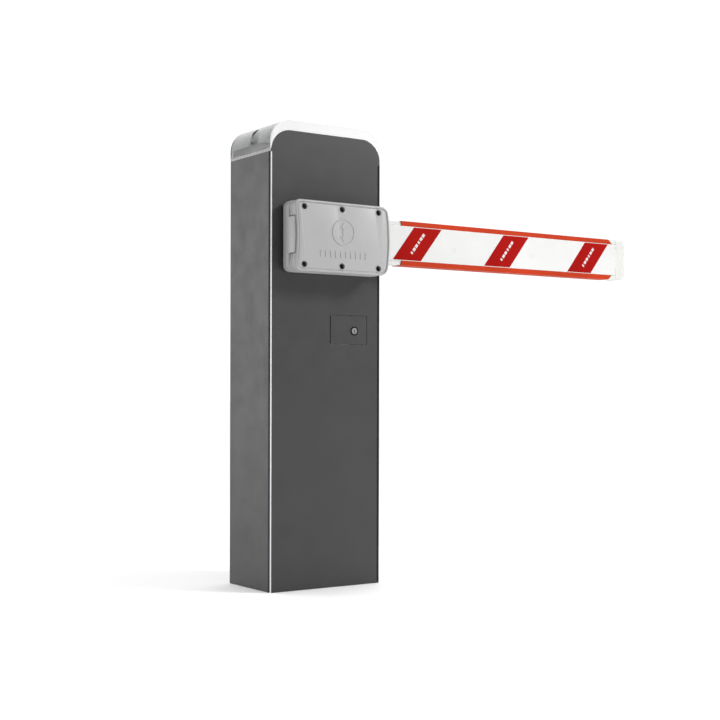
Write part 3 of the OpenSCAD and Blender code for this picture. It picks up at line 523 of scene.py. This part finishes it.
def clamp_samples(bow):
    """(point, outward normal, corner radius) round the clamp's outline.

    bow is how far its left side is hollow. The long sides' radius grows from left to right.
    """
    lo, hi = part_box("clamp_cover")
    half = (hi.z - lo.z) / 2
    out = []

    def corner(point, radius, start, stop, steps=10):
        for i in range(steps + 1):
            t = start + (stop - start) * i / steps
            out.append((point, Vector((math.cos(t), math.sin(t))), radius))

    def long_side(sign, steps=12):
        for i in range(1, steps):
            f = i / steps if sign > 0 else 1 - i / steps
            radius = LEFT_CORNER + (RIGHT_CORNER - LEFT_CORNER) * f
            x = top_left.x + (top_right.x - top_left.x) * f
            out.append((Vector((x, sign * (half - radius))), Vector((0, sign)), radius))

    small = BULGE_R - RIGHT_CORNER
    cr = Vector((CLAMP_RIGHT - BULGE_R, 0))
    b = math.asin((half - RIGHT_CORNER) / small)
    top_right = cr + small * Vector((math.cos(b), math.sin(b)))
    if bow:
        big = HOLLOW_R + LEFT_CORNER
        cl = Vector((CLAMP_LEFT + bow - HOLLOW_R, 0))
        a = math.asin((half - LEFT_CORNER) / big)
        top_left = cl + big * Vector((math.cos(a), math.sin(a)))
    else:
        a = 0
        top_left = Vector((CLAMP_LEFT + LEFT_CORNER, half - LEFT_CORNER))
    for i in range(1, 16):
        up = i / 8 - 1
        if bow:
            way = Vector((math.cos(a * up), math.sin(a * up)))
            out.append((cl + big * way, -way, LEFT_CORNER))
        else:
            point = Vector((top_left.x, top_left.y * up))
            out.append((point, Vector((-1, 0)), LEFT_CORNER))
    corner(top_left, LEFT_CORNER, math.pi + a, math.pi / 2)
    long_side(1)
    corner(top_right, RIGHT_CORNER, math.pi / 2, b)
    for i in range(1, 16):
        t = b * (1 - i / 8)
        way = Vector((math.cos(t), math.sin(t)))
        out.append((cr + small * way, way, RIGHT_CORNER))
    corner(Vector((top_right.x, -top_right.y)), RIGHT_CORNER, -b, -math.pi / 2)
    long_side(-1)
    corner(Vector((top_left.x, -top_left.y)), LEFT_CORNER, -math.pi / 2, -math.pi - a)
    return out


def clamp_rings(profile, bow):
    """One ring for each (inset, y) of the profile, both in millimetres."""
    samples = clamp_samples(bow)
    rings = []
    for inset, y in profile:
        ring = []
        for point, way, radius in samples:
            q = point + way * (radius - inset * MM)
            ring.append((q.x, y * MM, AXIS_Z + q.y))
        rings.append(ring)
    return rings


def clamp_screw_places():
    return [(SCREW_X + i * SCREW_PITCH, AXIS_Z + s * SCREW_RISE)
            for s in (-1, 1) for i in (-1, 0, 1)]


# (inset, y) in millimetres from the joint outwards: side, grooves, rim, then the sunk face
COVER_SIDE = [
    (3.0, -132.05), (1.5, -132.9), (0.9, -134.2), (0.9, -140.6), (1.9, -141.5), (1.9, -142.7),
    (0.8, -143.6), (0.8, -150), (0.4, -152.5), (0, -153.6), (0, -156.2), (0.35, -157.6),
    (1.1, -158.9), (2.2, -159.7),
]
COVER_FACE = [(4.9, -159.6), (5.3, -158.7), (5.7, -157.7), (6.8, -157.5), (7.7, -158.3),
              (8.8, -158.8)]
# The rear shell, from its back edge to the joint
SHELL_SIDE = [
    (5.2, -104), (3.4, -104.2), (1.8, -104.9), (0.7, -106.2), (0.15, -107.8), (0, -109.4),
    (0, -128.2), (0.5, -129.9), (1.7, -131.3), (3.4, -132),
]


def make_clamp():
    """Cover and rear shell of the clamp, with the boom's pocket cut through both."""
    boom_lo, boom_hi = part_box("beam_end_cap")
    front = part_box("clamp_cover")[0].y / MM
    bm = bmesh.new()
    rim = [(3.4, front), (4.2, front)]
    loft(bm, clamp_rings(COVER_SIDE + rim + COVER_FACE, COVER_BOW))
    cover = raw(bm, "cover")
    cutters = []
    for x, z in clamp_screw_places():
        bm = bmesh.new()
        lathe(bm, [(RECESS_MOUTH_R, 2 * MM), (RECESS_MOUTH_R, 0), (RECESS_R, -1.0 * MM),
                   (RECESS_R, -RECESS_DEEP)], 40, toward_y(x, z, front * MM + RECESS_FROM))
        cutters.append(raw(bm))
    bm = bmesh.new()
    block(bm, (POCKET_LEFT, boom_lo.y + POCKET_AIR, AXIS_Z - POCKET_HALF),
          (POCKET_RIGHT, POCKET_FROM_COVER, AXIS_Z + POCKET_HALF))
    cutters.append(raw(bm))
    bm = bmesh.new()
    block(bm, (SLOT_LEFT, SLOT_FRONT, TAB_Z - SLOT_HALF),
          (SLOT_RIGHT, SLOT_BACK, TAB_Z + SLOT_HALF), 0.6 * MM)
    cutters.append(raw(bm))
    cut(cover, cutters)
    mesh = cover.data
    bpy.data.objects.remove(cover)
    finish_piece(mesh, "cover_casting", "clamp_paint", "boom", replaced=["clamp_cover"], smooth=28)

    bm = bmesh.new()
    loft(bm, clamp_rings(SHELL_SIDE, 0))
    shell = raw(bm, "shell")
    bm = bmesh.new()
    block(bm, (CLAMP_LEFT, TAB_FRONT, TAB_Z - TAB_HALF),
          (CLAMP_LEFT + TAB_DEEP, TAB_BACK, TAB_Z + TAB_HALF), 1.2 * MM, 3)
    cut(shell, [raw(bm)], "UNION")
    bm = bmesh.new()
    block(bm, (POCKET_LEFT, POCKET_FROM_SHELL, AXIS_Z - POCKET_HALF),
          (POCKET_RIGHT, boom_hi.y + POCKET_AIR, AXIS_Z + POCKET_HALF))
    pocket = raw(bm)
    bm = bmesh.new()
    lathe(bm, [(BORE_R, 10 * MM), (BORE_R, -5 * MM)], 64, toward_y(0, AXIS_Z, SHELL_BACK, 1))
    cut(shell, [pocket, raw(bm)])
    mesh = shell.data
    bpy.data.objects.remove(shell)
    finish_piece(mesh, "rear_casting", "clamp_paint", "boom", replaced=["clamp_rear_shell"],
                 smooth=28)


def screw_collars():
    """Low raised ring round each screw recess in the cover."""
    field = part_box("clamp_cover")[0].y + 1.2 * MM
    profile = [(7.3, -0.4), (7.3, 0.3), (7.7, 0.75), (8.6, 0.85), (9.3, 0.5), (9.9, 0.0),
               (9.9, -0.4)]
    steps = 40
    bm = bmesh.new()
    for x, z in clamp_screw_places():
        rings = []
        for i in range(steps):
            a = 2 * math.pi * i / steps
            rings.append([(x + r * MM * math.cos(a), field - h * MM, z + r * MM * math.sin(a))
                          for r, h in profile])
        closed_ring(bm, rings)
    finish_piece(bm, "screw_collars", "clamp_paint", "boom", smooth=40)


# ---------- Boom ----------

STICKER_LEAN, STICKER_WIDTH, STICKER_PITCH, STICKERS = 0.064, 0.085, 0.285, 3
# Dashes: lengths in millimetres, then the first one's place, the step and half their width
DASHES = (5, 9, 9, 5, 9, 9)
DASH_FIRST, DASH_STEP, DASH_HALF = 0.024, 0.0112, 0.0035
PRINT = 0.0001


def sticker_dashes():
    """Plain white dashes along each sticker's lean."""
    lo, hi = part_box("reflective_stickers")
    way = Vector((STICKER_LEAN, 0, hi.z - lo.z)).normalized()
    side = Vector((way.z, 0, -way.x)) * DASH_HALF
    bm = bmesh.new()
    for k in range(STICKERS):
        base = Vector((lo.x + k * STICKER_PITCH + STICKER_WIDTH / 2, 0, lo.z))
        for face, sign in ((lo.y, -1), (hi.y, 1)):
            for i, size in enumerate(DASHES):
                centre = base + way * (DASH_FIRST + DASH_STEP * i)
                a, b = centre - way * size * MM / 2, centre + way * size * MM / 2
                corners = [a - side, b - side, b + side, a + side]
                loft(bm, [[(c.x, y, c.z) for c in corners] for y in (face, face + sign * PRINT)])
    finish_piece(bm, "sticker_dashes", "print_white", "boom", smooth=0)


def soft_step(a, b, v):
    """0 below a, 1 above b, and a smooth rise between them."""
    t = min(1, max(0, (v - a) / (b - a)))
    return t * t * (3 - 2 * t)


CAP_LENGTH, CAP_CORNER, CAP_EDGE = 33 * MM, 14 * MM, 3.2 * MM
# Centre of an ear from the outer end and from the middle, and where its swelling fades
EAR_IN, EAR_UP = 16 * MM, 50 * MM
EAR_NEAR, EAR_FAR = 30 * MM, 36 * MM
CAP_THIN, CAP_LIFT = 0.5 * MM, 0.4 * MM
# Wedge behind a rubber's slanted end: its edges nearer to and further from the boom's middle
# (millimetres), and how far each stops short of the outer end
WEDGE_LOW, WEDGE_HIGH = 42.5, 53.4
WEDGE_LOW_IN, WEDGE_HIGH_IN = 47.4 * MM, 59 * MM
WEDGE_HALF = 17.6 * MM


def end_cap():
    """The boom's end cap: rounded outer corners, and two swollen ears over the rubbers' ends."""
    lo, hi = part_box("beam_end_cap")
    mid_y, half_y = (lo.y + hi.y) / 2, (hi.y - lo.y) / 2
    cz, half_z = (lo.z + hi.z) / 2, (hi.z - lo.z) / 2
    start = hi.x - CAP_LENGTH
    rows, columns = 40, 26
    grid = []
    for i in range(columns + 1):
        x = start + (hi.x - start) * math.sin(i / columns * math.pi / 2)
        over = max(0, x - (hi.x - CAP_CORNER))
        half = half_z - CAP_CORNER + math.sqrt(max(0, CAP_CORNER ** 2 - over ** 2))
        grid.append([(x, cz + half * math.sin((j / rows - 0.5) * math.pi))
                     for j in range(rows + 1)])

    def depth(x, z):
        """Half thickness: full at the ears, a little thinner in the middle, round at the rim."""
        up = abs(z - cz)
        ear = math.hypot(x - (hi.x - EAR_IN), up - EAR_UP)
        thin = CAP_THIN * soft_step(EAR_NEAR, EAR_FAR, ear)
        rim = min(hi.x - x, half_z - up + 1e-6)
        over = max(0, x - (hi.x - CAP_CORNER))
        if over and up > half_z - CAP_CORNER:
            rim = min(rim, CAP_CORNER - math.hypot(over, up - half_z + CAP_CORNER))
        rim = max(0, rim)
        lift = CAP_LIFT * (1 - soft_step(0, 9 * MM, x - start))
        fall = CAP_EDGE - math.sqrt(max(0, CAP_EDGE ** 2 - max(0, CAP_EDGE - rim) ** 2))
        return max(0.2 * MM, half_y - lift - thin - fall)

    bm = bmesh.new()
    sheets = []
    for sign in (-1, 1):
        sheets.append([[bm.verts.new((x, mid_y + sign * depth(x, z), z)) for x, z in row]
                       for row in grid])
    front, back = sheets
    for i in range(columns):
        for j in range(rows):
            for sheet in sheets:
                bm.faces.new((sheet[i][j], sheet[i + 1][j], sheet[i + 1][j + 1], sheet[i][j + 1]))
        for j in (0, rows):
            bm.faces.new((front[i][j], front[i + 1][j], back[i + 1][j], back[i][j]))
    for i in (0, columns):
        for j in range(rows):
            bm.faces.new((front[i][j], front[i][j + 1], back[i][j + 1], back[i][j]))
    for s in (-1, 1):
        corners = [(start + MM, s * WEDGE_LOW), (hi.x - WEDGE_LOW_IN, s * WEDGE_LOW),
                   (hi.x - WEDGE_HIGH_IN, s * WEDGE_HIGH), (start + MM, s * WEDGE_HIGH)]
        loft(bm, [[(x, y, cz + z * MM) for x, z in corners]
                  for y in (mid_y - WEDGE_HALF, mid_y + WEDGE_HALF)])
    bmesh.ops.remove_doubles(bm, verts=bm.verts, dist=1e-6)
    finish_piece(bm, "end_cap_moulding", "white_plastic", "boom", replaced=["beam_end_cap"],
                 smooth=50)


# ---------- Cabinet ----------

# The painted-shade strip's ends and the full-width stretch between them, as heights
SHADE_STRIP_LOW, SHADE_STRIP_HIGH, SHADE_STRIP_TAPER = 0.004, 1.018, ((0.006, 1, 1), (1.014, 1, 1))


def painted_shade_strip():
    """Black strip along the right edge of the front panel, painted shade where that edge faces away
    from the light, drawn in a little at both ends.
    """
    lo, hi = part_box("front_panel")
    profile = [(-6.2, 0.1), (-6.2, -0.2), (-5.8, -0.45), (-5.0, -0.55), (-0.9, -0.55),
               (-0.2, -0.3), (0, 0.1)]
    rings = []
    for z, wide, deep in ((SHADE_STRIP_LOW, 0.76, 0.64), *SHADE_STRIP_TAPER, (SHADE_STRIP_HIGH, 0.76, 0.64)):
        rings.append([(hi.x + x * MM * wide, lo.y + y * MM * deep, z) for x, y in profile])
    bm = bmesh.new()
    loft(bm, rings)
    finish_piece(bm, "painted_shade_strip", "shade_strip_black", "cabinet", smooth=40)


TRAY_HALF, TRAY_TALL, TRAY_WALL = 0.1478, 17.5 * MM, 2.2 * MM


def lamp_tray():
    """Reflector tray round the lamp board, seen through the cap."""
    lo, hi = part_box("cap_frame")
    x, y0, y1 = TRAY_HALF, lo.y + 4 * MM, hi.y - 3 * MM
    z0, z1 = hi.z, hi.z + TRAY_TALL
    wall, edge_in, edge_down = TRAY_WALL, 0.3 * MM, 0.6 * MM
    rings = []
    for inset, z in ((0, z0), (0, z1 - edge_down), (edge_in, z1), (wall - edge_in, z1),
                     (wall, z1 - edge_down), (wall, z0)):
        rings.append([(-x + inset, y0 + inset, z), (x - inset, y0 + inset, z),
                      (x - inset, y1 - inset, z), (-x + inset, y1 - inset, z)])
    bm = bmesh.new()
    closed_ring(bm, rings)
    finish_piece(bm, "lamp_tray", "grey_plastic", "cabinet", smooth=0)


# The spring's coils, and its wire's radius
SPRING_TURNS, SPRING_WIRE_R = 22, 3.0 * MM


def spring_piece():
    """The balance spring as a coil of round wire."""
    lo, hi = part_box("balance_spring")
    wire, turns, per, sides = SPRING_WIRE_R, SPRING_TURNS, 28, 12
    centre = Vector(((lo.x + hi.x) / 2, (lo.y + hi.y) / 2, 0))
    radius = (hi.x - lo.x) / 2 - wire
    z0, z1 = lo.z + wire, hi.z - wire
    up = Vector((0, 0, 1))
    section = [2 * math.pi * j / sides for j in range(sides)]
    rings = []
    for i in range(turns * per + 1):
        a = 2 * math.pi * i / per
        out = Vector((math.cos(a), math.sin(a), 0))
        p = centre + out * radius + Vector((0, 0, z0 + (z1 - z0) * i / (turns * per)))
        rings.append([p + wire * (math.cos(t) * out + math.sin(t) * up) for t in section])
    bm = bmesh.new()
    loft(bm, rings)
    obj = finish_piece(bm, "coil_spring", "spring_steel", "cabinet", replaced=["balance_spring"],
                       smooth=60)
    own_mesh(obj)


# ---------- Stage ----------

FLOOR_SIZE = 40


def make_floor():
    bm = bmesh.new()
    bmesh.ops.create_grid(bm, x_segments=2, y_segments=2, size=FLOOR_SIZE)
    mesh = bpy.data.meshes.new("floor")
    bm.to_mesh(mesh)
    bm.free()
    floor = bpy.data.objects.new("floor", mesh)
    floor.location = (0, 4, -0.5 * MM)
    scene.collection.objects.link(floor)
    look = Look("floor", (0.94, 0.94, 0.94), 0.9)
    look.tint(0.01, 3)
    look.wear(0.05, 5)
    mesh.materials.append(look.mat)


def make_studio():
    """White behind the object and overhead, dimmer in front and to the left."""
    world = bpy.data.worlds.new("world")
    world.use_nodes = True
    tree = world.node_tree

    def made(kind, **values):
        node = tree.nodes.new("ShaderNode" + kind)
        for key, value in values.items():
            setattr(node, key, value)
        return node

    def ranged(value, a, b, low, high):
        node = made("MapRange")
        for key, number in (("From Min", a), ("From Max", b), ("To Min", low), ("To Max", high)):
            node.inputs[key].default_value = number
        tree.links.new(value, node.inputs["Value"])
        return node.outputs["Result"]

    way = made("TexCoord").outputs["Generated"]
    behind = made("VectorMath", operation="DOT_PRODUCT")
    behind.inputs[1].default_value = (0.1, 0.995, 0)
    tree.links.new(way, behind.inputs[0])
    split = made("SeparateXYZ")
    tree.links.new(way, split.inputs["Vector"])
    total = made("Math")
    tree.links.new(ranged(behind.outputs["Value"], 0.1, 0.5, 0.25, 1.12), total.inputs[0])
    tree.links.new(ranged(split.outputs["Z"], 0.3, 1.0, 0.0, 1.0), total.inputs[1])
    tree.links.new(total.outputs["Value"], tree.nodes["Background"].inputs["Strength"])
    tree.nodes["Background"].inputs["Color"].default_value = (1, 1, 1, 1)
    scene.world = world
    scene.view_settings.view_transform = "Standard"


def area(name, at, to, size, power):
    """A rectangular lamp at one point, turned to another."""
    data = bpy.data.lights.new(name, "AREA")
    data.shape = "RECTANGLE"
    data.size, data.size_y = size
    data.energy = power
    obj = bpy.data.objects.new(name, data)
    obj.location = at
    obj.rotation_euler = (Vector(to) - Vector(at)).to_track_quat("-Z", "Y").to_euler()
    scene.collection.objects.link(obj)
    return obj


def make_stage():
    make_floor()
    make_studio()
    area("key", (1.9, -1.8, 2.35), (0.1, 0, 0.6), (0.7, 0.8), 50)
    fill = area("fill", (0.7, -1.05, 0.42), (0.1, -0.1, 0.42), (0.35, 0.35), 4.2)
    fill.visible_glossy = False
    area("side", (-2.6, 2.6, 0.9), (-0.15, 0, 0.5), (1.4, 1.6), 22)


make_camera()
looks = make_looks()
dress_nodes()
make_clamp()
screw_collars()
sticker_dashes()
end_cap()
painted_shade_strip()
lamp_tray()
spring_piece()
make_stage()
